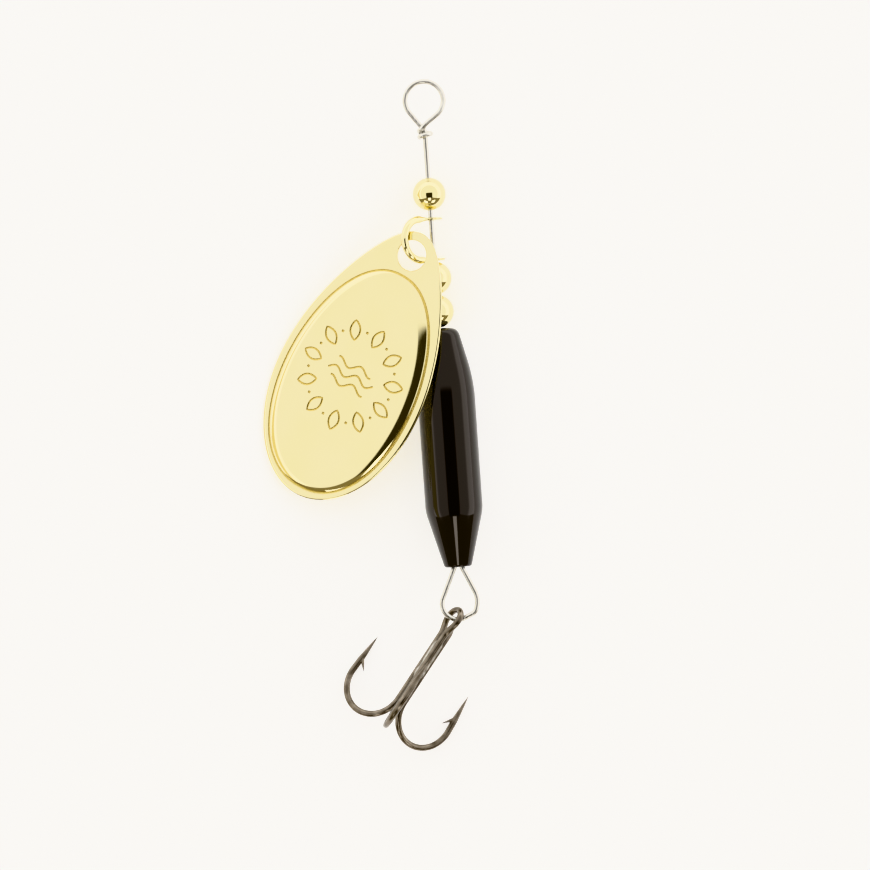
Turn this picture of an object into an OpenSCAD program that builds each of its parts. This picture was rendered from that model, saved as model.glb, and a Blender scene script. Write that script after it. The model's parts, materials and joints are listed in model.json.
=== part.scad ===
/* [Shaft wire] */
// Diameter of the stainless shaft wire
wire_d = 0.8; // [0.7:0.05:0.85]
// Inner-to-inner centreline radius of the line eye
eye_r = 2.88; // [2.6:0.02:3.0]
// Distance from the line eye's centre to the rear face of the weighted body
shaft_len = 70.3; // [70.3:0.1:74]
// Turns of wire in the closing wrap under the line eye
wrap_turns = 1.2; // [1:0.1:1.3]

/* [Weighted body] */
// Length of the weighted body
body_len = 36; // [34:0.5:36]
// Diameter of the weighted body
body_d = 8.7; // [8.4:0.1:8.8]
// Length of the cone at the rear
rear_cone = 8.5; // [7:0.5:10]
// Length of the cone at the front
front_cone = 8; // [7:0.5:10]
// Distance between the two wire legs that share the body's bore
leg_gap = 0.9; // [0.86:0.01:0.95]

/* [Beads] */
// Diameter of each of the three metal beads
bead_d = 5; // [4.8:0.1:5]
// Diameter of the hole through a bead
bead_bore = 0.96; // [0.9:0.02:1]
// End play left between neighbours on the shaft
stack_gap = 0.1; // [0.05:0.01:0.12]
// Loose space between the clevis and the top bead
bead_play = 1.05; // [0.8:0.05:1.2]

/* [Clevis] */
// Spacing of the clevis's two holed ends, centre to centre
clevis_span = 6.1; // [6:0.05:6.2]
// Reach of the clevis's bow from the shaft to the wire's centre
clevis_reach = 5.55; // [5.5:0.01:5.65]
// Diameter of the clevis's bow
bow_d = 1.1; // [1:0.05:1.2]
// Diameter of each flattened end
tab_d = 3.46; // [3:0.02:3.6]
// Thickness of each flattened end
tab_t = 0.5; // [0.4:0.05:0.55]
// How far the bow stands up from the table plane
clevis_turn = 42; // [41:0.5:43]

/* [Blade] */
// Length of the blade
blade_len = 43.8; // [42:0.1:44]
// Width of the blade
blade_w = 24.2; // [23.5:0.1:24.4]
// Thickness of the blade
blade_t = 0.5; // [0.4:0.05:0.6]
// Height of the domed middle above the rim
dome_h = 0.9; // [0.7:0.1:1.2]
// Width of the flat rim at the blade's sides
rim_w = 1.2; // [1:0.1:1.6]
// Diameter of the blade's hanging hole
hole_d = 4.6; // [4.6:0.05:4.7]
// Distance from the blade's tip to the centre of its hole
hole_back = 3.7; // [3.6:0.1:4]
// Heading of the blade away from the shaft
blade_heading = 30; // [29:0.5:31]
// Slope of the blade along its length
blade_pitch = 6.7; // [6.5:0.1:7]
// Slope of the blade across its width
blade_roll = 18.8; // [18.5:0.1:19.2]

/* [Treble hook] */
// Diameter of the hook wire
hook_d = 1; // [0.9:0.05:1.05]
// Distance from the eye's centre to the bottom of the bends
hook_len = 19.7; // [18.5:0.1:19.8]
// Radius of each bend
bend_r = 4.65; // [4:0.05:4.7]
// Length of each straight point beyond the bend
point_len = 6.4; // [5:0.2:6.4]
// Centreline radius of the treble's eye
ring_r = 1.55; // [1.5:0.05:1.6]
// Heading of the treble away from the shaft
hook_heading = 37.5; // [35:0.5:39]
// Upward slope of the treble, which rests its lower bends on the table plane
hook_pitch = 5.7; // [5.6:0.1:6.2]

/* [Hidden] */

$fn = 64;
tube_sides = 14;                        // sides of a bent wire
bend_step = 9;                          // degrees of bend between two rings of a tube
wire_r = wire_d / 2;
hook_r = hook_d / 2;
bead_r = bead_d / 2;
bead_half = sqrt(bead_r * bead_r - bead_bore * bead_bore / 4);  // from a bead's centre to its drilled flat

// Places along the shaft, which lies on the Y axis with the line eye's centre at the origin
body_back = -shaft_len;
body_front = body_back + body_len;
body_x = leg_gap / 2;                   // the body's axis runs midway between the two wire legs
lower_bead_y = body_front + stack_gap + bead_half;
middle_bead_y = lower_bead_y + 2 * bead_half + stack_gap;
clevis_low_y = middle_bead_y + bead_half + stack_gap + tab_t / 2;
clevis_high_y = clevis_low_y + clevis_span;
top_bead_y = clevis_high_y + tab_t / 2 + bead_play + bead_half;

// Weighted body
body_bore = leg_gap + wire_d + 0.2;     // holds the shaft and its return leg side by side
mouth_d = 2.9;                          // wider mouth where the two legs start to spread
mouth_depth = 2.2;
rear_face_r = 2.05;
front_face_r = 2.4;
edge_r = 0.35;                          // rounding of the rear end face
front_edge_r = 1.1;                     // rounding of the front end face

// Line eye and wrap
eye_shift = 0.2;                        // the hand-bent eye stands a little to one side
eye_start = -4.9;                       // where the shaft starts to bend into the eye
neck_r = 1;
leg_cross = [-0.45, -4.05];             // where the returning leg crosses over the shaft
wrap_r = wire_d + 0.03;
wrap_pitch = 0.84;
wrap_y = -4.45;                         // the wrap's first side turn
cross_turn = 0.3;                       // share of the wrap that carries the wire over from the leg

straight_from = body_back + 3;          // where the straight shaft takes over from the rear loop
sunk = 0.005;                           // a bent wire starts inside the straight shaft, just under its surface

// Rear loop, given as the pegs that the wire is bent round: [x, y, radius], positive for a left turn
return_leg = 5.6;                       // length of the return leg inside the body
loop_bottom = [0, body_back - 5.5, 2.37];   // the round bottom that carries the treble
loop_pegs = [
    [0, straight_from + 0.3, 0],
    [-2.2, body_back + 0.75, -2.2],
    loop_bottom,
    [1.55, body_back - 6.05, 1.25],
    [-0.6, body_back - 5.2, 3.55],
    [leg_gap + 2.2, body_back + 0.6, -2.2],
    [leg_gap, body_back + return_leg, 0]
];

// Clevis and blade
bow_r = clevis_span / 2;
bow_x = clevis_reach - bow_r;           // centre of the bow's half circle, measured out from the shaft
bow_mid_y = (clevis_low_y + clevis_high_y) / 2;
hang_angle = -43.4;                     // where the blade hangs on the bow, counted from its outermost point
hang_slack = [0.3, -0.2, -0.15];        // the blade hangs loose, so its hole is this much off the bow's centreline
hang = turned_about_shaft([bow_x + bow_r * cos(hang_angle), bow_mid_y + bow_r * sin(hang_angle)]) + hang_slack;
blade_taper = 0.22;                     // narrows the blade towards its tip
blade_pinch = 0.09;                     // narrows both ends of the blade
dome_start = 7;                         // distance from the blade's tip to the dome
dome_end = blade_len - 1.3;
dome_scale = 0.985;
crown_share = 0.3;                      // share of the dome's height in its even crown, the rest is in its shoulder
shoulder_power = 16;                    // how tightly the shoulder turns down to the rim
rows = [1, 0.98, 0.95, 0.91, 0.85, 0.7, 0.35];   // rings of the dome, from its edge to near its middle
spokes = 72;

// Treble hook
shank_r = hook_r * 2 / sqrt(3) + 0.03;  // from the bundle's axis to each shank, which almost touch
ring_tilt = 120;                        // the eye lies in the plane of the pair's two shanks
ring_axis = shank_r / 2;                // from the bundle's axis to the middle of the pair
pair_half = shank_r * sqrt(3) / 2;
neck_len = 3;                           // from the eye's centre to where the pair's shanks run side by side
single_start = 2.3;
bend_at = hook_len - bend_r - hook_r;
point_lean = 4;                         // the points lean in towards the shank
taper_len = 2.4;                        // sharpened length of each point
barb_at = 3.9;                          // from the tip to the barb's root
barb_len = 2.4;
barb_lift = 46;
braze_start = 3.2;
braze_len = 8;
braze_r = 0.78;
hook_hang = -111;                      // where the treble hangs on the loop's round bottom
hook_pivot = [loop_bottom.x + loop_bottom.z * cos(hook_hang), loop_bottom.y + loop_bottom.z * sin(hook_hang), 0];
bundle = [-ring_axis * cos(30), -ring_axis * sin(30)];  // the bundle's axis, seen from the eye's centre

function unit(v) = v / norm(v);
function turned_about_shaft(p) = [-p.x * cos(clevis_turn), p.y, p.x * sin(clevis_turn)];

// Wire round pegs: heading of the straight run between two pegs, and the points of the whole route
function run_heading(a, b) =
    let (d = [b.x - a.x, b.y - a.y])
    atan2(d.y, d.x) - asin((b.z - a.z) / norm(d));
function leaves_peg(peg, heading) = [peg.x + peg.z * sin(heading), peg.y - peg.z * cos(heading)];
function peg_turn(pegs, i) =
    let (t = run_heading(pegs[i], pegs[i + 1]) - run_heading(pegs[i - 1], pegs[i]))
    pegs[i].z > 0 ? (t + 720) % 360 : -((720 - t) % 360);

// Frames carried along a route without twisting, and the rings of a tube around it
function tangents(path) = [for (i = [0 : len(path) - 1])
    unit(path[min(i + 1, len(path) - 1)] - path[max(i - 1, 0)])];
function square_to(v, t) = unit(v - (v * t) * t);
function carried(tans, start) = [for (i = 0, n = square_to(start, tans[0]); i < len(tans);
    i = i + 1, n = i < len(tans) ? square_to(n, tans[i]) : n) n];

module tube(path, radii, start = [0.1, 0.2, 1], sides = tube_sides) {
    tans = tangents(path);
    sides_of = carried(tans, start);
    last = len(path) - 1;
    points = [for (i = [0 : last]) let (n = sides_of[i], b = cross(tans[i], n))
        for (j = [0 : sides - 1]) path[i] + radii[i] * (cos(360 * j / sides) * n + sin(360 * j / sides) * b)];
    walls = [for (i = [0 : last - 1], j = [0 : sides - 1]) let (k = (j + 1) % sides)
        each [[i * sides + j, (i + 1) * sides + k, i * sides + k],
              [i * sides + j, (i + 1) * sides + j, (i + 1) * sides + k]]];
    near_end = [[for (j = [0 : sides - 1]) j]];
    far_end = [[for (j = [sides - 1 : -1 : 0]) last * sides + j]];
    polyhedron(points, concat(near_end, walls, far_end));
}

// The points of a flat route round pegs, with a bend sampled every few degrees
function peg_route(pegs) = [for (i = [0 : len(pegs) - 1])
    each (pegs[i].z == 0 ? [[pegs[i].x, pegs[i].y, 0]] :
        let (from = run_heading(pegs[i - 1], pegs[i]), turn = peg_turn(pegs, i), n = ceil(abs(turn) / bend_step))
        [for (k = [0 : n]) let (p = leaves_peg(pegs[i], from + turn * k / n)) [p.x, p.y, 0]])];

// The line eye, its crossing leg and the closing wrap, as one route that starts inside the shaft's end
eye_pegs = [[0, eye_start - 1, 0], [-neck_r, eye_start, neck_r], [eye_shift, 0, -eye_r], [leg_cross.x, leg_cross.y, 0]];
eye_in = run_heading(eye_pegs[1], eye_pegs[2]);
eye_out = run_heading(eye_pegs[2], eye_pegs[3]);
eye_turn = peg_turn(eye_pegs, 2);
eye_flat = concat(
    [[0, eye_start - 0.3], [0, eye_start - 0.01]],
    [for (k = [1 : 6]) leaves_peg(eye_pegs[1], 90 + (eye_in - 90) * k / 6)],
    [for (k = [0 : 34]) leaves_peg(eye_pegs[2], eye_in + eye_turn * k / 34)],
    [for (k = [0.3, 0.6, 0.85]) (1 - k) * leaves_peg(eye_pegs[2], eye_out) + k * leg_cross]);
function lift_at(y) = wrap_r * max(0, (eye_r - y) / (eye_r - leg_cross.y));
eye_route = [for (i = [0 : len(eye_flat) - 1])
    [eye_flat[i].x, eye_flat[i].y, i < 26 ? 0 : lift_at(eye_flat[i].y)]];
wrap_route = [for (k = [0 : 30]) let (a = 122 + 360 * wrap_turns * k / 30, early = min(1, k / (30 * cross_turn)))
    [wrap_r * cos(a), wrap_y + 0.12 * pow(1 - early, 2) - wrap_pitch * wrap_turns * k / 30, wrap_r * sin(a)]];

module shaft_wire() color("silver") {
    translate([0, straight_from, 0]) rotate([-90, 0, 0]) cylinder(h = eye_start - straight_from, r = wire_r);
    for (route = [concat(eye_route, wrap_route), peg_route(loop_pegs)])
        tube(route, [for (p = route) wire_r - sunk]);
}

module bead(y) color("gold") translate([0, y, 0]) rotate([90, 0, 0]) difference() {
    sphere(r = bead_r);
    cylinder(h = bead_d + 1, d = bead_bore, center = true);
}
module top_bead() bead(top_bead_y);
module middle_bead() bead(middle_bead_y);
module lower_bead() bead(lower_bead_y);

module clevis() color("gold") rotate([0, clevis_turn, 0]) {
    translate([-bow_x, bow_mid_y, 0]) rotate([0, 0, 90])
        rotate_extrude(angle = 180) translate([bow_r, 0]) circle(d = bow_d);
    for (y = [clevis_low_y, clevis_high_y]) difference() {
        union() {
            translate([0, y, 0]) rotate([90, 0, 0]) cylinder(h = tab_t, d = tab_d, center = true);
            translate([-bow_x, y, 0]) rotate([0, 90, 0]) cylinder(h = bow_x - 1, d1 = bow_d, d2 = tab_t);
        }
        translate([0, y, 0]) rotate([90, 0, 0]) cylinder(h = 2, d = bead_bore, center = true);
    }
}

// Blade, drawn flat with its hole at the origin and its tip towards +Y
function half_width(t) = blade_w / 2 * dome_scale * sin(t) * (1 - blade_taper * cos(t) - blade_pinch * cos(t) * cos(t));
function edge_point(t) = [half_width(t), hole_back - blade_len / 2 * (1 - cos(t))];
function dome_point(t) =
    let (mid = (dome_start + dome_end) / 2, half = (dome_end - dome_start) / 2,
         w = (blade_w / 2 - rim_w) * sign(sin(t)) * pow(abs(sin(t)), 0.92) * (1 - 0.06 * cos(t)))
    [w, hole_back - mid + half * cos(t)];
function dome_ring(k, row) =
    let (t = 360 * k / spokes, c = [0, hole_back - (dome_start + dome_end) / 2], p = c + row * (dome_point(t) - c))
    [p.x, p.y, dome_h * (1 - crown_share * row * row - (1 - crown_share) * pow(row, shoulder_power))];

module blade_shell() {
    n = spokes;
    skin = concat(
        [for (k = [0 : n - 1]) [edge_point(360 * k / n).x, edge_point(360 * k / n).y, 0]],
        [for (row = rows, k = [0 : n - 1]) dome_ring(k, row)],
        [[0, hole_back - (dome_start + dome_end) / 2, dome_h]]);
    m = len(skin);
    top = [for (p = skin) p + [0, 0, blade_t / 2]];
    under = [for (p = skin) p - [0, 0, blade_t / 2]];
    bands = [for (i = [0 : len(rows) - 1], k = [0 : n - 1]) let (j = (k + 1) % n)
        each [[i * n + k, i * n + j, (i + 1) * n + j], [i * n + k, (i + 1) * n + j, (i + 1) * n + k]]];
    middle = [for (k = [0 : n - 1]) [len(rows) * n + k, len(rows) * n + (k + 1) % n, m - 1]];
    faces_up = concat(bands, middle);
    faces_down = [for (f = faces_up) [f[2] + m, f[1] + m, f[0] + m]];
    wall = [for (k = [0 : n - 1]) let (j = (k + 1) % n) each [[k, k + m, j + m], [k, j + m, j]]];
    polyhedron(concat(top, under), concat(faces_up, faces_down, wall));
}

module blade() color("gold") translate(hang)
    rotate([0, 0, -blade_heading]) rotate([blade_pitch, 0, 0]) rotate([0, -blade_roll, 0]) difference() {
        blade_shell();
        cylinder(h = 4 * blade_t, d = hole_d, center = true);
    }

module weighted_body() color("black") translate([body_x, body_back, 0]) rotate([-90, 0, 0]) difference() {
    rotate_extrude() polygon(concat(
        [[0, 0]],
        [for (a = [0 : 15 : 75]) [rear_face_r - edge_r + edge_r * sin(a), edge_r - edge_r * cos(a)]],
        [[body_d / 2, rear_cone], [body_d / 2, body_len - front_cone]],
        [for (a = [75 : -15 : 0]) [front_face_r - front_edge_r * (1 - sin(a)), body_len - front_edge_r * (1 - cos(a))]],
        [[0, body_len]]));
    translate([0, 0, -1]) cylinder(h = body_len + 2, d = body_bore);
    translate([0, 0, -1]) cylinder(h = mouth_depth + 1, d = mouth_d);
}

// Treble hook, drawn along +Y from the centre of its eye, and then laid along its heading
module laid_treble() translate(hook_pivot) rotate([0, 0, 180 - hook_heading]) rotate([hook_pitch, 0, 0]) children();

// One hook's route from the end of its shank to its tip, in the plane at angle around the bundle
function hook_flat(start) = concat(
    [[shank_r, start], [shank_r, (start + bend_at) / 2]],
    [for (k = [0 : 15]) let (a = (180 + point_lean) * k / 15)
        [shank_r + bend_r - bend_r * cos(a), bend_at + bend_r * sin(a)]],
    [for (s = [point_len - taper_len, point_len - taper_len / 2, point_len])
        [shank_r + 2 * bend_r - s * sin(point_lean) , bend_at - s * cos(point_lean)]]);
function hook_route(angle, start) = [for (p = hook_flat(start))
    [bundle.x + p[0] * cos(angle), p[1], bundle.y + p[0] * sin(angle)]];
function hook_radii(start) = let (n = len(hook_flat(start)))
    [for (i = [0 : n - 1]) i == n - 1 ? 0.04 : i == n - 2 ? hook_r * 0.62 : hook_r];
function reversed(list) = [for (i = [len(list) - 1 : -1 : 0]) list[i]];

// The pair's eye: half a circle, and two necks that ease in to the shanks
function eye_at(side, y) = [side * cos(ring_tilt), y, side * sin(ring_tilt)];
function eased(k) = k * k * (3 - 2 * k);
ring_neck = [for (k = [1 : 6]) let (e = eased(k / 6.5)) [ring_r + (pair_half - ring_r) * e, neck_len * k / 6.5]];
pair_ring = concat(
    [for (p = reversed(ring_neck)) eye_at(-p[0], p[1])],
    [for (a = [180 : 12 : 360]) eye_at(ring_r * cos(a), ring_r * sin(a))],
    [for (p = ring_neck) eye_at(p[0], p[1])]);

module barb(angle) {
    s = point_len - barb_at;
    at = [shank_r + 2 * bend_r - s * sin(point_lean), bend_at - s * cos(point_lean)];
    translate([bundle.x + at[0] * cos(angle), at[1], bundle.y + at[0] * sin(angle)])
        rotate([0, -angle, 0]) rotate([0, 0, barb_lift - point_lean]) rotate([-90, 0, 0])
            cylinder(h = barb_len, r1 = hook_r * 0.8, r2 = 0.05);
}

module hook_pair() color("dimgray") laid_treble() {
    route = concat(reversed(hook_route(330, neck_len)), pair_ring, hook_route(90, neck_len));
    radii = concat(reversed(hook_radii(neck_len)), [for (p = pair_ring) hook_r], hook_radii(neck_len));
    tube(route, radii);
    for (angle = [330, 90]) barb(angle);
}

module hook_single() color("dimgray") laid_treble() {
    tube(hook_route(210, single_start), hook_radii(single_start));
    barb(210);
}

module braze_joint() color("silver") laid_treble() translate([bundle.x, braze_start, bundle.y])
    rotate([-90, 0, 0]) linear_extrude(braze_len) difference() {
        circle(r = braze_r);
        for (angle = [90, 210, 330]) rotate(-angle) translate([shank_r, 0]) circle(r = hook_r + 0.01);
    }

shaft_wire();
top_bead();
clevis();
blade();
middle_bead();
lower_bead();
weighted_body();
hook_pair();
hook_single();
braze_joint();
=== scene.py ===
"""Looks of an inline spinner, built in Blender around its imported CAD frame."""

import bisect
import json
import math
import bmesh
import bpy
from mathutils import Matrix, Vector, noise


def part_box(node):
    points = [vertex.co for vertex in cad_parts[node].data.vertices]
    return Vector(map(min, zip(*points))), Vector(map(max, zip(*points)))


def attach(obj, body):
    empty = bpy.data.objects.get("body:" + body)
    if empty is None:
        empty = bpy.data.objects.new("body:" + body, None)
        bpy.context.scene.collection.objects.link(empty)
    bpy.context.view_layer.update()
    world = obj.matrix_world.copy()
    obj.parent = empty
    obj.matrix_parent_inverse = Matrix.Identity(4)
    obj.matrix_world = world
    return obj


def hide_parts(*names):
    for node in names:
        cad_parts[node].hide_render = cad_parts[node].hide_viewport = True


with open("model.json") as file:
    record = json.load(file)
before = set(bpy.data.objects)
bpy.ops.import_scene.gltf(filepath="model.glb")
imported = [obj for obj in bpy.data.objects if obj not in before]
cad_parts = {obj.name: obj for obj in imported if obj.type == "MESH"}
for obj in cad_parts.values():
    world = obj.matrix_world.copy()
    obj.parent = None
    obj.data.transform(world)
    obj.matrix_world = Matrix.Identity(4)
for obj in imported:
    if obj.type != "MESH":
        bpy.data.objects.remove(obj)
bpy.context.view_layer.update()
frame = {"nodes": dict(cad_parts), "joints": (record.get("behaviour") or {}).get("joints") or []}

MM = 0.001
SCENE = bpy.context.scene
JOINTS = {joint["name"]: joint for joint in frame["joints"]}

# ---------------------------------------------------------------- driving sizes, in millimetres
WIRE_R = 0.4                  # shaft wire
EYE_R = 2.88                  # line eye, to the wire's centre
EYE_SHIFT = 0.2
EYE_START = -4.9              # where the shaft bends into the eye
NECK_R = 1.0
LEG_CROSS = (-0.45, -4.05)    # where the returning leg crosses over the shaft
WRAP_R = 0.83
WRAP_TURNS = 1.2
WRAP_PITCH = 0.84
WRAP_Y = -4.45
WRAP_START = 122              # bearing, in degrees, where the wrap begins
LEG_GAP = 0.9                 # between the shaft and its return leg inside the body
RETURN_LEG = 5.6

BEAD_BORE_R = 0.48

BOW_D = 1.1                   # clevis
CLEVIS_SPAN = 6.1
CLEVIS_REACH = 5.55
CLEVIS_TURN = 42
TAB_R = 1.73
TAB_T = 0.5

BLADE_LEN = 43.8
BLADE_W = 24.2
BLADE_T = 0.5
BLADE_HEADING = 30
BLADE_PITCH = 6.7
BLADE_ROLL = 18.8
BLADE_TAPER = 0.22
BLADE_PINCH = 0.09
OUTLINE_SCALE = 0.985
DOME_H = 0.9
DOME_START = 7.0
DOME_END = BLADE_LEN - 1.3
CROWN_SHARE = 0.3
SHOULDER_POWER = 16
RIM_W = 1.2
EDGE_IN = 0.85                # the edge's rounding, across and down
EDGE_DOWN = 0.22
GROOVE_R = 0.19
GROOVE_DEPTH = 0.12
CREASE_R = 0.22               # the pressed line at the foot of the dome
CREASE_DEPTH = 0.075
FOOT_DIP = 0.045              # how far the sheet sinks at the foot of the dome, and how wide
FOOT_REACH = 0.13
HOLE_R = 2.3
HOLE_BACK = 3.7

REAR_CONE = 8.5               # weighted body
FRONT_CONE = 8.0
REAR_FACE_R = 2.05
FRONT_FACE_R = 2.4
BODY_BORE_R = 0.95
MOUTH_R = 1.45
MOUTH_DEPTH = 2.2

HOOK_R = 0.5                  # treble
HOOK_LEN = 19.7
BEND_R = 4.65
POINT_LEN = 6.4
POINT_LEAN = 4
RING_R = 1.55
RING_TILT = 120
NECK_LEN = 3.0
SINGLE_START = 2.3
HOOK_HEADING = 37.5
HOOK_PITCH = 5.7
BARB_AT = 3.9
BARB_LEN = 2.4
BARB_LIFT = 46
BARB_HALF_W = 0.36
BARB_HALF_T = 0.3
TAPER_POWER = 0.8             # how bluntly points and barbs run out
POINT_R = 0.02                # what is left of the wire at a point
BRAZE_START = 3.2
BRAZE_LEN = 8.0


# ---------------------------------------------------------------- places, from the frame
def corner(node, which):
    """A CAD node's lowest (0) or highest (1) corner, in millimetres."""
    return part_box(node)[which] / MM


def pivot(joint):
    """A joint's place, in millimetres."""
    return Vector(JOINTS[joint]["pos_m"]) / MM


BODY_BACK = corner("weighted_body", 0).y
BODY_FRONT = corner("weighted_body", 1).y
BODY_R = corner("weighted_body", 1).z
BODY_X = (corner("weighted_body", 0).x + corner("weighted_body", 1).x) / 2
TABLE_Z = min(corner(node, 0).z for node in frame["nodes"])
CLEVIS_Y = pivot("clevis_spin").y
BLADE_HANG = pivot("blade_swing")
HOOK_HANG = pivot("treble_swing")


# ---------------------------------------------------------------- mesh making
def to_mesh(name, points, faces):
    """A mesh object from points in millimetres."""
    mesh = bpy.data.meshes.new(name)
    mesh.from_pydata([Vector(p) * MM for p in points], [], faces)
    mesh.validate()
    mesh.update()
    piece = bpy.data.objects.new(name, mesh)
    SCENE.collection.objects.link(piece)
    return piece


def wall(rings, first=0, closed=False):
    """Quads between rings of equal length."""
    sides = len(rings[0])
    count = len(rings) if closed else len(rings) - 1
    faces = []
    for i in range(count):
        a = first + i * sides
        b = first + (i + 1) % len(rings) * sides
        for j in range(sides):
            k = (j + 1) % sides
            faces.append((a + j, a + k, b + k, b + j))
    return faces


def capped(rings):
    """Points and faces of a row of rings, with a fan over each end."""
    sides = len(rings[0])
    points = [p for ring in rings for p in ring]
    faces = wall(rings)
    for base, flip in ((0, True), ((len(rings) - 1) * sides, False)):
        centre = len(points)
        points.append(sum((Vector(points[base + j]) for j in range(sides)), Vector()) / sides)
        for j in range(sides):
            a, b = base + j, base + (j + 1) % sides
            faces.append((b, a, centre) if flip else (a, b, centre))
    return points, faces


def turned(profile, segments=128):
    """Points and faces of a closed (radius, y) profile turned about the Y axis."""
    rings = []
    for k in range(segments):
        a = 2 * math.pi * k / segments
        rings.append([Vector((r * math.sin(a), y, r * math.cos(a))) for r, y in profile])
    return [p for ring in rings for p in ring], wall(rings, closed=True)


def carried_frames(route, start):
    """Tangent and side vectors along a route, carried without twist."""
    frames = []
    side = Vector(start)
    for i, _ in enumerate(route):
        ahead = route[min(i + 1, len(route) - 1)]
        behind = route[max(i - 1, 0)]
        tangent = (ahead - behind).normalized()
        side = (side - side.dot(tangent) * tangent).normalized()
        frames.append((tangent, side, tangent.cross(side)))
    return frames


def ring_at(centre, side, up, width, height, sides):
    """One ring of an elliptical section."""
    return [centre + side * (width * math.cos(2 * math.pi * j / sides))
            + up * (height * math.sin(2 * math.pi * j / sides)) for j in range(sides)]


def swept(route, radii, sides=28, start=(0.1, 0.2, 1), edge=0.12):
    """Points and faces of a wire along a route, its cut ends rounded by edge."""
    route = [Vector(p) for p in route]
    frames = carried_frames(route, start)
    rings = []
    for centre, radius, (_, side, up) in zip(route, radii, frames):
        rings.append(ring_at(centre, side, up, radius, radius, sides))
    for end, sign in ((0, -1), (-1, 1)):
        tangent, side, up = frames[end]
        extra = []
        soft = min(edge, radii[end] * 0.9)
        for a in (30, 60, 85):
            radius = radii[end] - soft * (1 - math.cos(math.radians(a)))
            centre = route[end] + tangent * (sign * soft * math.sin(math.radians(a)))
            extra.append(ring_at(centre, side, up, radius, radius, sides))
        rings = extra[::-1] + rings if sign < 0 else rings + extra
    return capped(rings)


def looped(route, radius, sides=8):
    """Points and faces of a closed tube."""
    route = [Vector(p) for p in route]
    rings = []
    for i, centre in enumerate(route):
        tangent = (route[(i + 1) % len(route)] - route[i - 1]).normalized()
        side = Vector((0, 0, 1))
        across = tangent.cross(side).normalized()
        rings.append(ring_at(centre, side, across, radius, radius, sides))
    return [p for ring in rings for p in ring], wall(rings, closed=True)


def joined(*shapes):
    """Several (points, faces) as one."""
    points, faces = [], []
    for more_points, more_faces in shapes:
        shift = len(points)
        points += [Vector(p) for p in more_points]
        faces += [tuple(i + shift for i in face) for face in more_faces]
    return points, faces


def outward(piece):
    """Turns a closed mesh's faces outwards."""
    work = bmesh.new()
    work.from_mesh(piece.data)
    bmesh.ops.recalc_face_normals(work, faces=work.faces)
    work.to_mesh(piece.data)
    work.free()


def combine(piece, tool, operation):
    """Cuts tool from piece, or joins it on, and drops the tool."""
    for thing in (piece, tool):
        outward(thing)
    change = piece.modifiers.new("combine", "BOOLEAN")
    change.operation = operation
    change.object = tool
    change.solver = "MANIFOLD"
    bpy.context.view_layer.update()
    result = piece.evaluated_get(bpy.context.evaluated_depsgraph_get())
    mesh = bpy.data.meshes.new_from_object(result)
    piece.modifiers.remove(change)
    piece.data = mesh
    bpy.data.objects.remove(tool)


def lay(piece, placement):
    """Moves a piece's mesh by a placement that is in millimetres."""
    piece.data.transform(Matrix.Scale(1 / MM, 4))
    piece.data.transform(placement)
    piece.data.transform(Matrix.Scale(MM, 4))


def settle(piece, material, body, node, sharp=38):
    """Shades a finished piece, and says what it is made of, stands for and rides on."""
    outward(piece)
    mesh = piece.data
    mesh.polygons.foreach_set("use_smooth", [True] * len(mesh.polygons))
    mesh.set_sharp_from_angle(angle=math.radians(sharp))
    materials = material if isinstance(material, tuple) else (material,)
    mesh.materials.clear()
    for each in materials:
        mesh.materials.append(each)
    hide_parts(node)
    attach(piece, body)


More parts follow.
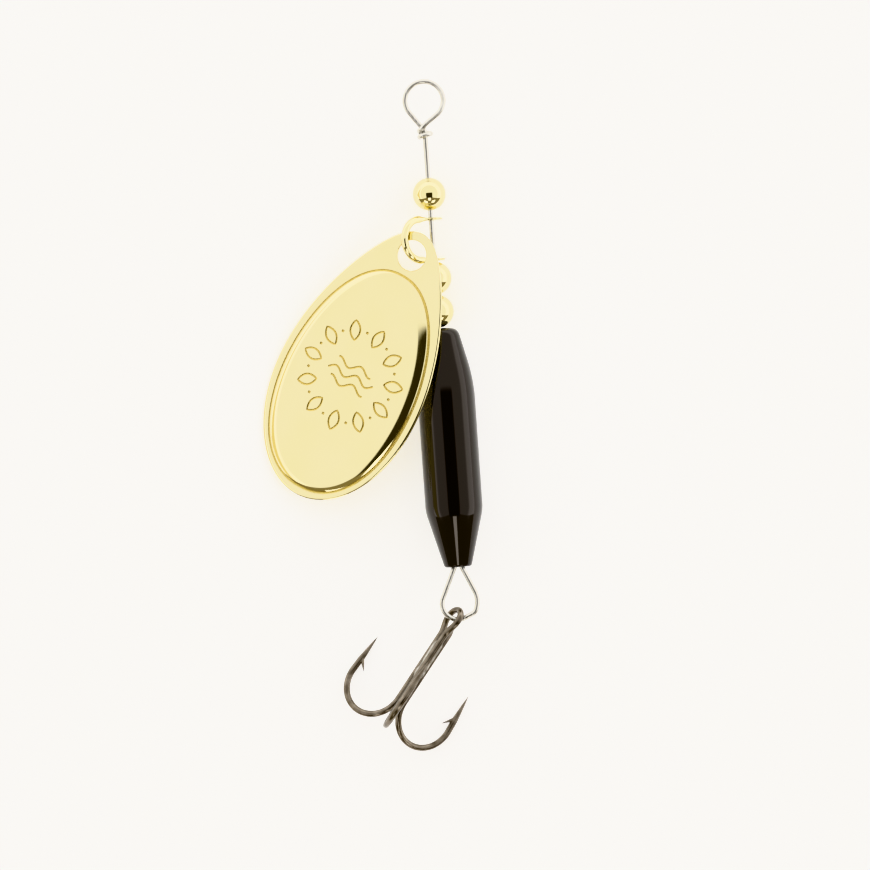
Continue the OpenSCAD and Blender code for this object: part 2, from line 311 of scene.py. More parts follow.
# ---------------------------------------------------------------- materials
class Look:
    """A node material with one Principled shader and short ways to add texture to it."""

    def __init__(self, name, **values):
        self.material = bpy.data.materials.new(name)
        self.material.use_nodes = True
        self.tree = self.material.node_tree
        self.shader = self.tree.nodes["Principled BSDF"]
        for key, value in values.items():
            self.shader.inputs[key.replace("_", " ")].default_value = value
        self.place = self.tree.nodes.new("ShaderNodeTexCoord").outputs["Object"]

    def stretched(self, x, y, z):
        """The place on the object, squeezed so that a pattern draws out along an axis."""
        node = self.tree.nodes.new("ShaderNodeMapping")
        node.inputs["Scale"].default_value = (x, y, z)
        self.tree.links.new(self.place, node.inputs["Vector"])
        return node.outputs["Vector"]

    def noise(self, scale, detail=3.0, where=None):
        """Smooth noise over the piece, or over a stretched place."""
        node = self.tree.nodes.new("ShaderNodeTexNoise")
        node.inputs["Scale"].default_value = scale
        node.inputs["Detail"].default_value = detail
        node.inputs["Roughness"].default_value = 0.5
        self.tree.links.new(where or self.place, node.inputs["Vector"])
        return node.outputs["Fac"]

    def cells(self, scale):
        """Distance to the nearest of many scattered specks."""
        node = self.tree.nodes.new("ShaderNodeTexVoronoi")
        node.inputs["Scale"].default_value = scale
        self.tree.links.new(self.place, node.inputs["Vector"])
        return node.outputs["Distance"]

    def ramped(self, value, low, high, from_low=0.3, from_high=0.7):
        """A value spread between two numbers."""
        node = self.tree.nodes.new("ShaderNodeMapRange")
        node.inputs["From Min"].default_value = from_low
        node.inputs["From Max"].default_value = from_high
        node.inputs["To Min"].default_value = low
        node.inputs["To Max"].default_value = high
        self.tree.links.new(value, node.inputs["Value"])
        return node.outputs["Result"]

    def tinted(self, value, low, high, from_low=0.3, from_high=0.7):
        """A value spread between two colours."""
        node = self.tree.nodes.new("ShaderNodeValToRGB")
        node.color_ramp.elements[0].position = from_low
        node.color_ramp.elements[0].color = (*low, 1)
        node.color_ramp.elements[1].position = from_high
        node.color_ramp.elements[1].color = (*high, 1)
        self.tree.links.new(value, node.inputs["Fac"])
        return node.outputs["Color"]

    def feed(self, socket, value):
        """Links a value to one of the shader's inputs."""
        self.tree.links.new(value, self.shader.inputs[socket])

    def bumped(self, *layers):
        """Bump from (value, strength, depth in millimetres) layers, one over the other."""
        normal = None
        for value, strength, depth in layers:
            node = self.tree.nodes.new("ShaderNodeBump")
            node.inputs["Strength"].default_value = strength
            node.inputs["Distance"].default_value = depth * MM
            self.tree.links.new(value, node.inputs["Height"])
            if normal:
                self.tree.links.new(normal, node.inputs["Normal"])
            normal = node.outputs["Normal"]
        self.feed("Normal", normal)


def gold_plate():
    """Polished plating: pale yellow, with a faint wave from the press and fine rubbing marks."""
    look = Look("gold_plate", Metallic=1.0)
    tone = look.noise(120, 2)
    look.feed("Base Color", look.tinted(tone, (0.78, 0.695, 0.375), (0.81, 0.72, 0.41)))
    rub = look.noise(900, 6, look.stretched(1, 0.12, 1))
    look.feed("Roughness", look.ramped(rub, 0.035, 0.1))
    look.bumped((look.noise(180, 1), 0.35, 0.012), (rub, 0.25, 0.001))
    return look.material


def groove_gold_painted_shade():
    """Darker, duller gold on the walls of the engraved lines and the pressed crease: the darker colour is
    painted shade in these recesses, the higher roughness their duller finish.
    """
    look = Look("groove_gold_painted_shade", Metallic=1.0)
    grain = look.noise(6000, 3)
    # Painted shade: the base colour is a darker gold than the plating, standing for the shade inside the
    # grooves and the crease.
    look.feed("Base Color", look.tinted(grain, (0.44, 0.33, 0.08), (0.6, 0.47, 0.16)))
    look.feed("Roughness", look.ramped(grain, 0.28, 0.45))
    return look.material


def bead_gold():
    """Turned and polished plating on the beads and the clevis, with faint turning rings."""
    look = Look("bead_gold", Metallic=1.0)
    tone = look.noise(400, 2)
    look.feed("Base Color", look.tinted(tone, (0.78, 0.7, 0.37), (0.83, 0.75, 0.43)))
    rings = look.noise(1, 4, look.stretched(300, 9000, 300))
    look.feed("Roughness", look.ramped(rings, 0.04, 0.085))
    look.bumped((rings, 0.2, 0.0006))
    return look.material


def drawn_wire():
    """Bright stainless wire, with drawing lines along it."""
    look = Look("drawn_wire", Metallic=1.0)
    lines = look.noise(1, 5, look.stretched(9000, 250, 9000))
    look.feed("Base Color", look.tinted(lines, (0.46, 0.44, 0.395), (0.62, 0.6, 0.55)))
    look.feed("Roughness", look.ramped(lines, 0.16, 0.3))
    look.bumped((lines, 0.3, 0.002))
    return look.material


def gloss_lacquer():
    """Thick black lacquer: a deep gloss with a slight orange peel and a little dust."""
    look = Look("gloss_lacquer", IOR=1.44, Specular_Tint=(1.0, 0.9, 0.82, 1))
    dust = look.cells(2600)
    look.feed("Base Color", look.tinted(dust, (0.007, 0.0055, 0.0045), (0.002, 0.0016, 0.0014), 0.02, 0.1))
    haze = look.noise(700, 5)
    look.feed("Roughness", look.ramped(haze, 0.03, 0.075))
    look.bumped((look.noise(420, 2), 0.3, 0.006))
    return look.material


def black_nickel():
    """Dark nickel plate: a brownish grey with a soft gloss and fine wear."""
    look = Look("black_nickel", Metallic=1.0)
    tone = look.noise(700, 4)
    look.feed("Base Color", look.tinted(tone, (0.085, 0.07, 0.052), (0.2, 0.17, 0.135)))
    grain = look.noise(2500, 5)
    look.feed("Roughness", look.ramped(grain, 0.12, 0.24))
    look.bumped((grain, 0.3, 0.003))
    return look.material


def plated_braze():
    """Braze under the same plate: lighter, lumpy and duller than the hooks."""
    look = Look("plated_braze", Metallic=1.0)
    tone = look.noise(1500, 4)
    look.feed("Base Color", look.tinted(tone, (0.16, 0.14, 0.115), (0.5, 0.47, 0.42)))
    look.feed("Roughness", look.ramped(look.noise(3500, 4), 0.22, 0.42))
    look.bumped((look.noise(1800, 4), 0.5, 0.03))
    return look.material


GOLD = gold_plate()
GROOVE_GOLD_PAINTED_SHADE = groove_gold_painted_shade()
BEAD_GOLD = bead_gold()
WIRE = drawn_wire()
LACQUER = gloss_lacquer()
NICKEL = black_nickel()
BRAZE = plated_braze()


# ---------------------------------------------------------------- wire bent round pegs
def run_heading(a, b):
    """Heading, in degrees, of the straight run from peg a to peg b; a peg is (x, y, radius)."""
    dx, dy = b[0] - a[0], b[1] - a[1]
    return math.degrees(math.atan2(dy, dx) - math.asin((b[2] - a[2]) / math.hypot(dx, dy)))


def leaves_peg(peg, heading):
    """The place on a peg where the wire has a heading."""
    h = math.radians(heading)
    return Vector((peg[0] + peg[2] * math.sin(h), peg[1] - peg[2] * math.cos(h), 0))


def peg_turn(pegs, i):
    """How far the wire turns round a peg, in degrees."""
    turn = run_heading(pegs[i], pegs[i + 1]) - run_heading(pegs[i - 1], pegs[i])
    return turn % 360 if pegs[i][2] > 0 else -(-turn % 360)


def peg_route(pegs, step=3.0):
    """The wire's centreline round a row of pegs."""
    route = []
    for i, peg in enumerate(pegs):
        if peg[2] == 0:
            route.append(Vector((peg[0], peg[1], 0)))
            continue
        start, turn = run_heading(pegs[i - 1], peg), peg_turn(pegs, i)
        steps = math.ceil(abs(turn) / step)
        route += [leaves_peg(peg, start + turn * k / steps) for k in range(steps + 1)]
    return route


def eye_route():
    """From the shaft's end round the line eye, over the shaft, and round it in the closing wrap."""
    pegs = [(0, EYE_START - 1, 0), (-NECK_R, EYE_START, NECK_R), (EYE_SHIFT, 0, -EYE_R), (*LEG_CROSS, 0)]
    into = run_heading(pegs[1], pegs[2])
    out = run_heading(pegs[2], pegs[3])
    turn = peg_turn(pegs, 2)
    cross = Vector((*LEG_CROSS, 0))
    route = [leaves_peg(pegs[1], 90 + (into - 90) * k / 12) for k in range(13)]
    route += [leaves_peg(pegs[2], into + turn * k / 100) for k in range(101)]
    route += [leaves_peg(pegs[2], out).lerp(cross, k) for k in (0.2, 0.4, 0.6, 0.75, 0.88)]
    half_way = len(route) // 2
    for i, p in enumerate(route):
        if i > half_way:
            p.z = WRAP_R * max(0, (EYE_R - p.y) / (EYE_R - LEG_CROSS[1]))
    steps = 90
    for k in range(steps + 1):
        a = math.radians(WRAP_START + 360 * WRAP_TURNS * k / steps)
        settled = min(1, k / (steps * 0.3))
        y = WRAP_Y + 0.12 * (1 - settled) ** 2 - WRAP_PITCH * WRAP_TURNS * k / steps
        route.append(Vector((WRAP_R * math.cos(a), y, WRAP_R * math.sin(a))))
    return route


def rear_loop_route():
    """From the shaft down round the rear loop and back up into the body."""
    pegs = [
        (0, BODY_BACK + 3.3, 0),
        (-2.2, BODY_BACK + 0.75, -2.2),
        (0, BODY_BACK - 5.5, 2.37),
        (1.55, BODY_BACK - 6.05, 1.25),
        (-0.6, BODY_BACK - 5.2, 3.55),
        (LEG_GAP + 2.2, BODY_BACK + 0.6, -2.2),
        (LEG_GAP, BODY_BACK + RETURN_LEG, 0),
    ]
    return peg_route(pegs)


def eased_route(route, times=2):
    """Softens the corners where bends and straight runs meet."""
    for _ in range(times):
        route = [route[0]] + [
            (route[i - 1] + 2 * route[i] + route[i + 1]) / 4 for i in range(1, len(route) - 1)
        ] + [route[-1]]
    return route


def make_wire():
    """The whole shaft wire, from the closing wrap to the end of its return leg."""
    straight = [Vector((0, EYE_START - 0.15 - k, 0)) for k in (0, 0.4, 1.2, 3)]
    straight += [Vector((0, y, 0)) for y in (-12, -20, -30, -40, -50, -60)]
    route = eased_route(eye_route())[::-1] + straight + eased_route(rear_loop_route(), 1)
    piece = to_mesh("bent_shaft_wire", *swept(route, [WIRE_R] * len(route), edge=0.1))
    settle(piece, WIRE, "shaft", "shaft_wire")


# ---------------------------------------------------------------- beads
def make_bead(node):
    """A turned bead: a ball with a softly countersunk hole."""
    low, high = corner(node, 0), corner(node, 1)
    middle = (low.y + high.y) / 2
    radius = (high.z - low.z) / 2
    sink_r, sink_depth = BEAD_BORE_R + 0.2, 0.14
    rise = math.sqrt(radius ** 2 - sink_r ** 2)
    outside = []
    first = math.asin(sink_r / radius)
    steps = 64
    for k in range(steps + 1):
        a = first + (math.pi - 2 * first) * k / steps
        outside.append((radius * math.sin(a), radius * math.cos(a)))
    lip = [(BEAD_BORE_R, rise - sink_depth - 0.1), (BEAD_BORE_R + 0.01, rise - sink_depth),
           (BEAD_BORE_R + 0.06, rise - 0.06), (sink_r - 0.05, rise + 0.005)]
    profile = lip + outside + [(r, -y) for r, y in reversed(lip)]
    piece = to_mesh(node + "_turned", *turned([(r, y + middle) for r, y in profile], 96))
    settle(piece, BEAD_GOLD, node, node, sharp=60)


# ---------------------------------------------------------------- clevis
def clevis_half_width(x):
    """Half width of the flattened arm, x millimetres out from the shaft."""
    disc = math.sqrt(max(0.0, TAB_R ** 2 - x ** 2))
    neck = BOW_D / 2
    return (disc ** 4 + (neck if x < 0 else 0) ** 4) ** 0.25


def make_clevis():
    """One wire: a round bow whose ends are pressed flat and drilled."""
    bow_r = CLEVIS_SPAN / 2
    bow_x = CLEVIS_REACH - bow_r
    sides = 28
    flat_from = 1.2               # the arm is at full flatness this far short of the shaft
    squared_off = 0.45            # how square the flattened section is; 1 is round
    arm = []
    reach = TAB_R * 0.995
    stops = [reach * math.cos(math.radians(a)) for a in range(0, 175, 7)]
    stops += [-bow_x + (stops[-1] + bow_x) * k for k in (0.75, 0.5, 0.25)]
    for x in stops:
        flat = min(1, max(0, (x + bow_x) / (bow_x - flat_from)))
        eased = flat * flat * (3 - 2 * flat)
        height = BOW_D / 2 + (TAB_T / 2 - BOW_D / 2) * eased
        width = clevis_half_width(x) if x > -TAB_R else BOW_D / 2
        rounding = min(1, max(0, (height - 0.3) / 0.2))
        squared = squared_off + (1 - squared_off) * rounding
        ring = []
        for j in range(sides):
            a = 2 * math.pi * j / sides
            rise = math.copysign(abs(math.sin(a)) ** squared, math.sin(a)) * height
            ring.append(Vector((x, bow_r + rise, width * math.cos(a))))
        arm.append(ring)
    shape = list(arm)
    turn_steps = 48
    for k in range(turn_steps + 1):
        a = math.radians(180 * k / turn_steps)
        out = Vector((-math.sin(a), math.cos(a), 0))
        ring = []
        for j in range(sides):
            b = 2 * math.pi * j / sides
            ring.append(Vector((-bow_x, 0, 0)) + out * (bow_r + BOW_D / 2 * math.sin(b))
                        + Vector((0, 0, BOW_D / 2 * math.cos(b))))
        shape.append(ring)
    shape += [[Vector((p.x, -p.y, p.z)) for p in ring] for ring in reversed(arm)]
    placed = Matrix.Translation((0, CLEVIS_Y, 0)) @ Matrix.Rotation(math.radians(CLEVIS_TURN), 4, "Y")
    points, faces = capped([[placed @ p for p in ring] for ring in shape])
    piece = to_mesh("wire_clevis", points, faces)
    drill = []
    half_t = TAB_T / 2
    bevel = 0.08
    mouth_r = BEAD_BORE_R + bevel + 1 - half_t
    for side in (-1, 1):
        y = CLEVIS_Y + side * bow_r
        outline = [(0.02, y - 1), (mouth_r, y - 1), (BEAD_BORE_R, y - half_t + bevel),
                   (BEAD_BORE_R, y + half_t - bevel), (mouth_r, y + 1), (0.02, y + 1)]
        rings = [[Vector((r * math.sin(2 * math.pi * j / 48), h, r * math.cos(2 * math.pi * j / 48)))
                  for j in range(48)] for r, h in outline]
        drill.append(capped(rings))
    combine(piece, to_mesh("drill", *joined(*drill)), "DIFFERENCE")
    settle(piece, BEAD_GOLD, "clevis", "clevis", sharp=45)


# ---------------------------------------------------------------- blade
DOME_MID = HOLE_BACK - (DOME_START + DOME_END) / 2
BLADE_LAY = (Matrix.Translation(BLADE_HANG) @ Matrix.Rotation(math.radians(-BLADE_HEADING), 4, "Z")
             @ Matrix.Rotation(math.radians(BLADE_PITCH), 4, "X")
             @ Matrix.Rotation(math.radians(-BLADE_ROLL), 4, "Y"))


def edge_point(t):
    """The blade's outline, with its hole at the origin and its tip towards +Y."""
    c = math.cos(t)
    width = BLADE_W / 2 * OUTLINE_SCALE * math.sin(t) * (1 - BLADE_TAPER * c - BLADE_PINCH * c * c)
    return Vector((width, HOLE_BACK - BLADE_LEN / 2 * (1 - c), 0))


def dome_point(t):
    """The oval where the rim turns up into the dome."""
    half = (DOME_END - DOME_START) / 2
    s = math.sin(t)
    width = (BLADE_W / 2 - RIM_W) * math.copysign(abs(s) ** 0.92, s) * (1 - 0.06 * math.cos(t))
    return Vector((width, DOME_MID + half * math.cos(t), 0))


ORNAMENT_Y = DOME_MID + 0.7   # middle of the engraving


def dome_spokes(count=720):
    """Bearings round the middle of the dome, and how far out its foot is at each."""
    bearings, reaches = [], []
    for k in range(1, count):
        p = dome_point(2 * math.pi * k / count) - Vector((0, DOME_MID, 0))
        bearings.append(math.atan2(p.x, p.y) % (2 * math.pi))
        reaches.append(p.length)
    return bearings, reaches


DOME_BEARING, DOME_REACH = dome_spokes()


def dome_height(share, reach):
    """Height above the rim at a share of the way out to the oval, with the pressed crease at its foot."""
    crown = CROWN_SHARE * share ** 2
    shoulder = (1 - CROWN_SHARE) * share ** SHOULDER_POWER
    crease = FOOT_DIP * math.exp(-(((1 - share) * reach) / FOOT_REACH) ** 2)
    return DOME_H * (1 - crown - shoulder) - crease


def top_height(x, y):
    """Height of the blade's upper face inside the oval."""
    bearing = math.atan2(x, y - DOME_MID) % (2 * math.pi)
    i = min(bisect.bisect_left(DOME_BEARING, bearing), len(DOME_REACH) - 1)
    reach = DOME_REACH[i]
    return dome_height(min(1, math.hypot(x, y - DOME_MID) / reach), reach) + BLADE_T / 2


def blade_column(t):
    """One spoke of the blade's skin, from the middle of its top, over the edge, to the middle below."""
    middle = Vector((0, DOME_MID, 0))
    foot, edge = dome_point(t), edge_point(t)
    reach = (foot - middle).length
    top = []
    shares = [0.04, 0.12, 0.25, 0.4, 0.52, 0.62, 0.7, 0.75, 0.79, 0.82, 0.845, 0.87, 0.89, 0.91,
              0.925, 0.94, 0.953, 0.965, 0.974, 0.981, 0.987, 0.992, 0.996, 1.0]
    for share in shares:
        p = middle.lerp(foot, share)
        top.append((p, dome_height(share, reach)))
    rim = (edge - foot).length
    for d in (0.04, 0.1, 0.18, 0.3):
        p = foot.lerp(edge, min(0.4, d / rim))
        top.append((p, -FOOT_DIP * math.exp(-(min(0.4 * rim, d) / FOOT_REACH) ** 2)))
    for share in (0.45, 0.65, 0.8, 0.92, 1.0):
        top.append((foot.lerp(edge, share * (1 - EDGE_IN / rim)), 0.0))
    column = [p + Vector((0, 0, h + BLADE_T / 2)) for p, h in top]
    out = (edge - foot).normalized()
    for a in (12, 25, 38, 50, 62, 75):
        lean = math.radians(a)
        p = edge - out * EDGE_IN * (1 - math.sin(lean))
        column.append(p + Vector((0, 0, BLADE_T / 2 - EDGE_DOWN * (1 - math.cos(lean)))))
    under = [Vector((p.x, p.y, p.z - BLADE_T)) for p in column[:len(top)]]
    for a in (75, 50, 25):
        lean = math.radians(a)
        p = edge - out * EDGE_IN * (1 - math.sin(lean))
        column.append(p + Vector((0, 0, -BLADE_T / 2 + EDGE_DOWN * (1 - math.cos(lean)))))
    return column + under[::-1]


def groove(points):
    """A cutting tube along a stroke drawn on the blade's upper face."""
    lifted = [Vector((x, y, top_height(x, y) + GROOVE_R - GROOVE_DEPTH)) for x, y in points]
    return swept(lifted, [GROOVE_R] * len(lifted), sides=8, start=(0, 0, 1), edge=0.05)


def leaf(angle, distance, length, width):
    """A closed leaf-shaped groove, pointing out from the middle of the dome."""
    route = []
    steps = 14
    for side in (1, -1):
        for k in range(steps):
            s = k / steps if side > 0 else 1 - k / steps
            along = distance + length * (s - 0.5)
            across = side * width / 2 * math.sin(math.pi * s) ** 0.8
            x = along * math.sin(angle) + across * math.cos(angle)
            y = ORNAMENT_Y + along * math.cos(angle) - across * math.sin(angle)
            route.append(Vector((x, y, top_height(x, y) + GROOVE_R - GROOVE_DEPTH)))
    return looped(route, GROOVE_R)


def engraving():
    """A plain ornament: a ring of leaves with dots between them, round three ripples."""
    strokes = []
    leaves = 11
    ring_r = 7.0
    leaf_len = 3.0
    leaf_w = 1.6
    dot_r = 0.22
    ripple_h = 0.5
    ripple_rate = 1.7
    for k in range(leaves):
        angle = 2 * math.pi * k / leaves + 0.2
        strokes.append(leaf(angle, ring_r, leaf_len, leaf_w))
        between = angle + math.pi / leaves
        x, y = ring_r * math.sin(between), ORNAMENT_Y + ring_r * math.cos(between)
        dot = [(x - 0.1, y), (x, y), (x + 0.1, y)]
        lifted = [Vector((a, b, top_height(a, b) + 0.06)) for a, b in dot]
        strokes.append(swept(lifted, [dot_r] * 3, sides=12, start=(0, 0, 1), edge=0.12))
    for row, reach in ((1.5, 3.0), (0, 3.9), (-1.5, 3.0)):
        steps = 64
        wave = []
        for k in range(steps + 1):
            s = 2 * k / steps - 1
            wave.append((reach * s, ORNAMENT_Y + row + ripple_h * math.sin(ripple_rate * reach * s)))
        strokes.append(groove(wave))
    crease = []
    for k in range(360):
        foot = dome_point(2 * math.pi * k / 360)
        crease.append(foot + Vector((0, 0, BLADE_T / 2 + CREASE_R - CREASE_DEPTH)))
    strokes.append(looped(crease, CREASE_R, 16))
    return joined(*strokes)


def make_blade():
    """The pressed sheet, with its hole punched and its ornament cut."""
    spokes = 320
    columns = [blade_column(2 * math.pi * (k + 0.5) / spokes) for k in range(spokes)]
    rings = [[column[i] for column in columns] for i in range(len(columns[0]))]
    piece = to_mesh("pressed_blade", *capped(rings))
    outline = [(HOLE_R + 0.9, 1), (HOLE_R + 0.01, BLADE_T / 2 - 0.06), (HOLE_R, BLADE_T / 2 - 0.1),
               (HOLE_R, 0.1 - BLADE_T / 2), (HOLE_R + 0.01, 0.06 - BLADE_T / 2), (HOLE_R + 0.9, -1)]
    punch = capped([[Vector((r * math.cos(2 * math.pi * j / 96), r * math.sin(2 * math.pi * j / 96), h))
                     for j in range(96)] for r, h in outline])
    combine(piece, to_mesh("punch", *punch), "DIFFERENCE")
    cutter = to_mesh("cutter", *engraving())
    for thing in (piece, cutter):
        for material in (GOLD, GROOVE_GOLD_PAINTED_SHADE):
            thing.data.materials.append(material)
    # The cutter's faces take the painted-shade gold, so every groove and the pressed crease is coloured
    # darker than the plating.
    cutter.data.polygons.foreach_set("material_index", [1] * len(cutter.data.polygons))
    combine(piece, cutter, "DIFFERENCE")
    cut = [face.material_index for face in piece.data.polygons]
    lay(piece, BLADE_LAY)
    settle(piece, (GOLD, GROOVE_GOLD_PAINTED_SHADE), "blade", "blade", sharp=30)
    piece.data.polygons.foreach_set("material_index", cut)


# ---------------------------------------------------------------- weighted body
def rounded_profile(corners, steps=10):
    """A (radius, y) outline whose corners are (radius, y, rounding)."""
    outline = []
    count = len(corners)
    for i, (r, y, soft) in enumerate(corners):
        here = Vector((r, y))
        if soft == 0:
            outline.append((r, y))
            continue
        before = (Vector(corners[i - 1][:2]) - here).normalized()
        after = (Vector(corners[(i + 1) % count][:2]) - here).normalized()
        for k in range(steps + 1):
            s = k / steps
            p = (1 - s) ** 2 * (here + before * soft) + 2 * s * (1 - s) * here + s * s * (here + after * soft)
            outline.append((p.x, p.y))
    return outline


def make_body():
    """The turned weight, with its bore and the wider mouth at the rear."""
    corners = [
        (BODY_BORE_R, BODY_BACK + MOUTH_DEPTH, 0),
        (MOUTH_R, BODY_BACK + MOUTH_DEPTH, 0),
        (MOUTH_R, BODY_BACK, 0.08),
        (REAR_FACE_R, BODY_BACK, 0.4),
        (BODY_R, BODY_BACK + REAR_CONE, 0.9),
        (BODY_R, BODY_FRONT - FRONT_CONE, 3.0),
        (FRONT_FACE_R, BODY_FRONT, 1.3),
        (BODY_BORE_R, BODY_FRONT, 0.08),
    ]
    points, faces = turned(rounded_profile(corners), 160)
    shift = Vector((BODY_X, 0, 0))
    piece = to_mesh("lacquered_weight", [p + shift for p in points], faces)
    settle(piece, LACQUER, "weight", "weighted_body")


# ---------------------------------------------------------------- treble hook
SHANK_R = HOOK_R * 2 / math.sqrt(3) + 0.03
RING_AXIS = SHANK_R / 2
PAIR_HALF = SHANK_R * math.sqrt(3) / 2
BUNDLE = Vector((-RING_AXIS * math.cos(math.radians(30)), 0, -RING_AXIS * math.sin(math.radians(30))))
BEND_AT = HOOK_LEN - BEND_R - HOOK_R
TREBLE_LAY = (Matrix.Translation(HOOK_HANG) @ Matrix.Rotation(math.radians(180 - HOOK_HEADING), 4, "Z")
              @ Matrix.Rotation(math.radians(HOOK_PITCH), 4, "X"))


def around_bundle(angle, out, along):
    """A point out from the bundle's axis, in the plane of one hook."""
    a = math.radians(angle)
    return BUNDLE + Vector((out * math.cos(a), along, out * math.sin(a)))


def hook_line(angle, start):
    """One hook's centreline and radii, from the top of its shank to its point."""
    lean = math.radians(POINT_LEAN)
    line = [(SHANK_R, start), (SHANK_R, start * 0.7 + BEND_AT * 0.3), (SHANK_R, start * 0.3 + BEND_AT * 0.7)]
    radii = [HOOK_R] * 3
    steps = 60
    for k in range(steps + 1):
        a = math.radians((180 + POINT_LEAN) * k / steps)
        line.append((SHANK_R + BEND_R * (1 - math.cos(a)), BEND_AT + BEND_R * math.sin(a)))
        radii.append(HOOK_R)
    steps = 26
    for k in range(1, steps + 1):
        s = POINT_LEN * k / steps
        line.append((SHANK_R + 2 * BEND_R - s * math.sin(lean), BEND_AT - s * math.cos(lean)))
        left = max(0, (POINT_LEN - s) / (BARB_AT + 0.5))
        radii.append(POINT_R + (HOOK_R - POINT_R) * min(1, left) ** TAPER_POWER)
    return [around_bundle(angle, out, along) for out, along in line], radii


def barb(angle):
    """The sliver cut up from the inside of a point."""
    lean = math.radians(POINT_LEAN)
    s = POINT_LEN - BARB_AT
    root = (SHANK_R + 2 * BEND_R - s * math.sin(lean), BEND_AT - s * math.cos(lean))
    rings = []
    sides = 16
    plane = Vector((math.cos(math.radians(angle)), 0, math.sin(math.radians(angle))))
    bend = math.radians(BARB_LIFT - POINT_LEAN)
    tip = Vector((0, 1, 0)) * math.cos(bend) - plane * math.sin(bend)
    side = plane.cross(tip).normalized()
    up = tip.cross(side)
    for k in range(9):
        share = k / 8
        out = root[0] - BARB_LEN * share * math.sin(bend)
        along = root[1] + BARB_LEN * share * math.cos(bend)
        centre = around_bundle(angle, out, along)
        thin = (1 - share) ** TAPER_POWER
        half_w = BARB_HALF_W * thin + POINT_R
        half_t = BARB_HALF_T * thin + POINT_R
        rings.append(ring_at(centre, side, up, half_w, half_t, sides))
    return capped(rings)


def eye_of_pair():
    """The treble's eye: most of a circle, and two necks that ease in to the shanks."""
    def at(side, along):
        a = math.radians(RING_TILT)
        return Vector((side * math.cos(a), along, side * math.sin(a)))

    neck = []
    for k in range(1, 25):
        share = k / 26
        eased = share * share * (3 - 2 * share)
        neck.append((RING_R + (PAIR_HALF - RING_R) * eased, NECK_LEN * k / 26))
    ring = [at(-side, along) for side, along in reversed(neck)]
    for k in range(61):
        a = math.radians(180 + 3 * k)
        ring.append(at(RING_R * math.cos(a), RING_R * math.sin(a)))
    return ring + [at(side, along) for side, along in neck]


def make_pair():
    """One wire bent into two hooks, with the treble's eye between them."""
    left, left_radii = hook_line(330, NECK_LEN)
    right, right_radii = hook_line(90, NECK_LEN)
    eye = eye_of_pair()
    route = left[::-1] + eye + right
    radii = left_radii[::-1] + [HOOK_R] * len(eye) + right_radii
    piece = to_mesh("hook_pair_wire", *swept(route, radii, edge=0.01))
    for angle in (330, 90):
        combine(piece, to_mesh("sliver", *barb(angle)), "UNION")
    lay(piece, TREBLE_LAY)
    settle(piece, NICKEL, "treble", "hook_pair", sharp=35)


def make_single():
    """The third hook, its shank's top tapered under the eye."""
    route, radii = hook_line(210, SINGLE_START)
    for k, radius in enumerate((0.36, 0.45)):
        route.insert(k, around_bundle(210, SHANK_R - 0.08 + 0.04 * k, SINGLE_START - 0.9 + 0.45 * k))
        radii.insert(k, radius)
    piece = to_mesh("single_hook_wire", *swept(route, radii, edge=0.15))
    combine(piece, to_mesh("sliver", *barb(210)), "UNION")
    lay(piece, TREBLE_LAY)
    settle(piece, NICKEL, "treble", "hook_single", sharp=35)


def make_braze():
    """Filler drawn in between the shanks: fuller in the middle, thin and uneven at its ends."""
    sides = 72
    rings = []
    steps = 44
    for i in range(steps + 1):
        share = i / steps
        fill = min(1, 6 * share, 6 * (1 - share)) ** 0.6
        ring = []
        for j in range(sides):
            angle = 2 * math.pi * j / sides
            valley = 0.5 - 0.5 * math.cos(3 * (angle - math.pi / 2))
            lump = noise.noise(Vector((math.cos(angle) * 1.5, math.sin(angle) * 1.5, share * 9)))
            radius = 0.1 + fill * (0.34 + 0.34 * valley * (1 + 0.35 * lump))
            ring.append(BUNDLE + Vector((radius * math.cos(angle), BRAZE_START + BRAZE_LEN * share,
                                         radius * math.sin(angle))))
        rings.append(ring)
    piece = to_mesh("braze_fillet", *capped(rings))
    lay(piece, TREBLE_LAY)
    settle(piece, BRAZE, "treble", "braze_joint", sharp=60)


# ---------------------------------------------------------------- studio
def make_floor():
    """A plain pale table."""
    half = 700
    piece = to_mesh("table", [(-half, -half, TABLE_Z), (half, -half, TABLE_Z), (half, half, TABLE_Z),
                              (-half, half, TABLE_Z)], [(0, 1, 2, 3)])
    look = Look("table_white", Roughness=0.85)
    tone = look.noise(8, 2)
    look.feed("Base Color", look.tinted(tone, (0.93, 0.918, 0.905), (0.94, 0.929, 0.917)))
    look.shader.inputs["Specular IOR Level"].default_value = 0.2
    look.shader.inputs["Emission Color"].default_value = (1.0, 0.985, 0.965, 1)
    look.shader.inputs["Emission Strength"].default_value = 0.6
    piece.data.materials.append(look.material)


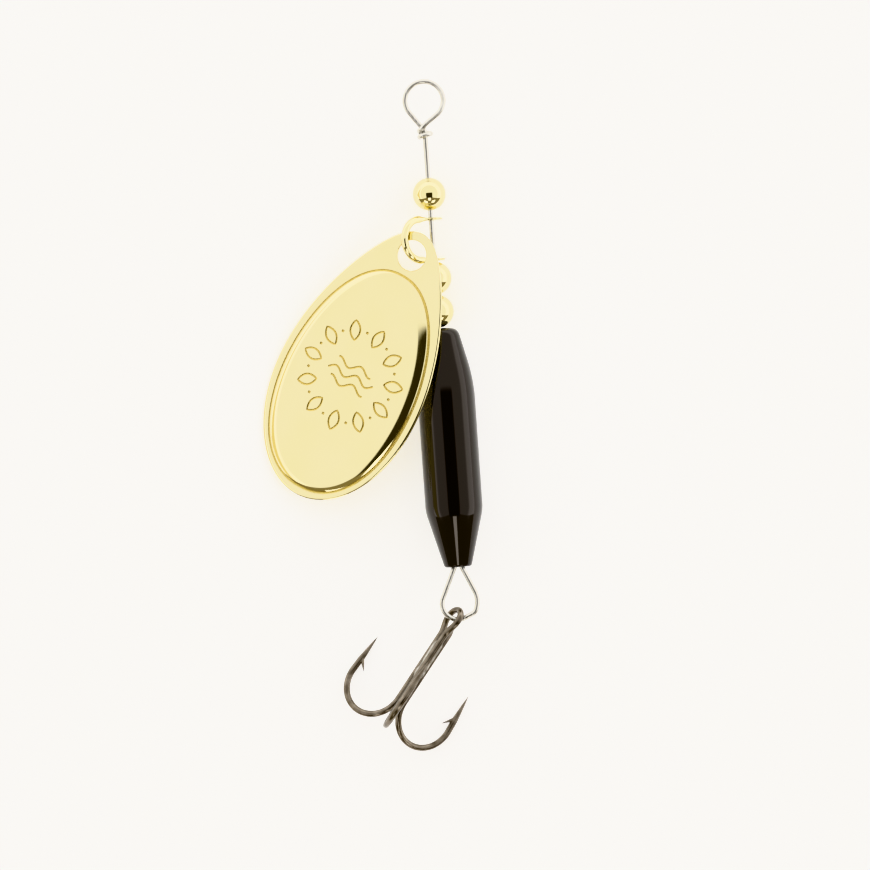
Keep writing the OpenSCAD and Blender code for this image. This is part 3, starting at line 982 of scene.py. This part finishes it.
class Sky:
    """A white light tent, with the dark gap that the camera looks through."""

    def __init__(self):
        self.world = bpy.data.worlds.new("light_tent")
        SCENE.world = self.world
        self.world.use_nodes = True
        self.tree = self.world.node_tree
        self.tree.nodes.clear()

    def link(self, value, socket):
        """Sets a socket to a number, or links it to another node's output."""
        if isinstance(value, (int, float)):
            socket.default_value = value
        else:
            self.tree.links.new(value, socket)

    def sum(self, operation, a, b=0.0):
        """One arithmetic step."""
        node = self.tree.nodes.new("ShaderNodeMath")
        node.operation = operation
        self.link(a, node.inputs[0])
        self.link(b, node.inputs[1])
        return node.outputs[0]

    def inside(self, value, middle, half, soft):
        """1 where value is within half of middle, and 0 further off, with a soft edge."""
        node = self.tree.nodes.new("ShaderNodeMapRange")
        node.interpolation_type = "SMOOTHSTEP"
        node.inputs["From Min"].default_value = half - soft
        node.inputs["From Max"].default_value = half + soft
        node.inputs["To Min"].default_value = 1
        node.inputs["To Max"].default_value = 0
        self.link(self.sum("ABSOLUTE", self.sum("SUBTRACT", value, middle)), node.inputs["Value"])
        return node.outputs["Result"]

    def patch(self, u, v, box, soft=0.03):
        """1 inside a rectangle of slopes from straight up: (low u, high u, low v, high v)."""
        across = self.inside(u, (box[0] + box[1]) / 2, (box[1] - box[0]) / 2, soft)
        along = self.inside(v, (box[2] + box[3]) / 2, (box[3] - box[2]) / 2, soft)
        return self.sum("MULTIPLY", across, along)

    def mixed(self, mask, under, over):
        """One colour laid over another where the mask is 1."""
        node = self.tree.nodes.new("ShaderNodeMix")
        node.data_type = "RGBA"
        self.tree.links.new(mask, node.inputs["Factor"])
        for value, socket in ((under, node.inputs[6]), (over, node.inputs[7])):
            if isinstance(value, tuple):
                socket.default_value = (*value, 1)
            else:
                self.tree.links.new(value, socket)
        return node.outputs[2]


def make_sky():
    """Everything is bright but the gap over the lure and the photographer's side, towards -Y."""
    sky = Sky()
    tent = (1.5, 1.49, 1.47)      # overhead
    walls = (2.9, 2.88, 2.84)     # low down, all round
    haze = (1.15, 1.0, 0.55)      # a warmer stretch, low towards -X
    gap = (0.035, 0.028, 0.015)   # straight above, where the camera is
    dim = (0.32, 0.275, 0.18)     # towards -Y
    lamp = (5.5, 5.4, 5.2)        # three windows in the dim side
    gap_half = 0.42
    gap_end = -0.5
    wall_top = 0.45
    direction = sky.tree.nodes.new("ShaderNodeTexCoord").outputs["Generated"]
    split = sky.tree.nodes.new("ShaderNodeSeparateXYZ")
    sky.tree.links.new(direction, split.inputs[0])
    x, y, z = split.outputs
    height = sky.sum("MAXIMUM", z, 0.02)
    u = sky.sum("DIVIDE", x, height)
    v = sky.sum("DIVIDE", y, height)
    spread = sky.sum("MAXIMUM", sky.sum("SUBTRACT", sky.sum("ABSOLUTE", u), gap_half), 0.0)
    brow = sky.sum("ADD", v, sky.sum("MULTIPLY", spread, 0.36))
    side = sky.inside(brow, gap_end - 1000, 1000, 0.05)
    high = sky.inside(height, wall_top + 1000, 1000, 0.08)
    colour = sky.mixed(high, walls, tent)
    colour = sky.mixed(sky.patch(u, v, (-60.0, -2.8, -2.6, 2.2), 0.3), colour, haze)
    colour = sky.mixed(side, colour, dim)
    colour = sky.mixed(sky.patch(u, v, (-gap_half, gap_half, gap_end - 0.1, 0.16), 0.05), colour, gap)
    for window in ((-0.15, 0.15, -0.98, -0.56), (0.5, 1.2, -2.3, -1.35), (-1.2, -0.5, -2.3, -1.35)):
        colour = sky.mixed(sky.patch(u, v, window), colour, lamp)
    background = sky.tree.nodes.new("ShaderNodeBackground")
    seen = sky.tree.nodes.new("ShaderNodeLightPath").outputs["Is Camera Ray"]
    sky.tree.links.new(sky.mixed(seen, colour, tent), background.inputs["Color"])
    output = sky.tree.nodes.new("ShaderNodeOutputWorld")
    sky.tree.links.new(background.outputs[0], output.inputs["Surface"])


def make_camera():
    """Straight above the table through a long lens, turned a little so that the lure leans left."""
    view_width = 130.8            # across the picture, at the shaft
    turn = -4.0
    middle = Vector((-1.65, -50.26, 0))
    data = bpy.data.cameras.new("camera")
    data.lens = 250
    data.sensor_width = 36
    distance = view_width * data.lens / data.sensor_width
    camera = bpy.data.objects.new("camera", data)
    camera.location = (middle + Vector((0, 0, distance))) * MM
    camera.rotation_euler = (0, 0, math.radians(turn))
    data.clip_start = 0.01
    data.clip_end = 10
    SCENE.collection.objects.link(camera)
    SCENE.camera = camera


make_camera()
make_sky()
make_floor()
SCENE.view_settings.view_transform = "Khronos PBR Neutral"

make_wire()
for bead in ("top_bead", "middle_bead", "lower_bead"):
    make_bead(bead)
make_clevis()
make_blade()
make_body()
make_pair()
make_single()
make_braze()
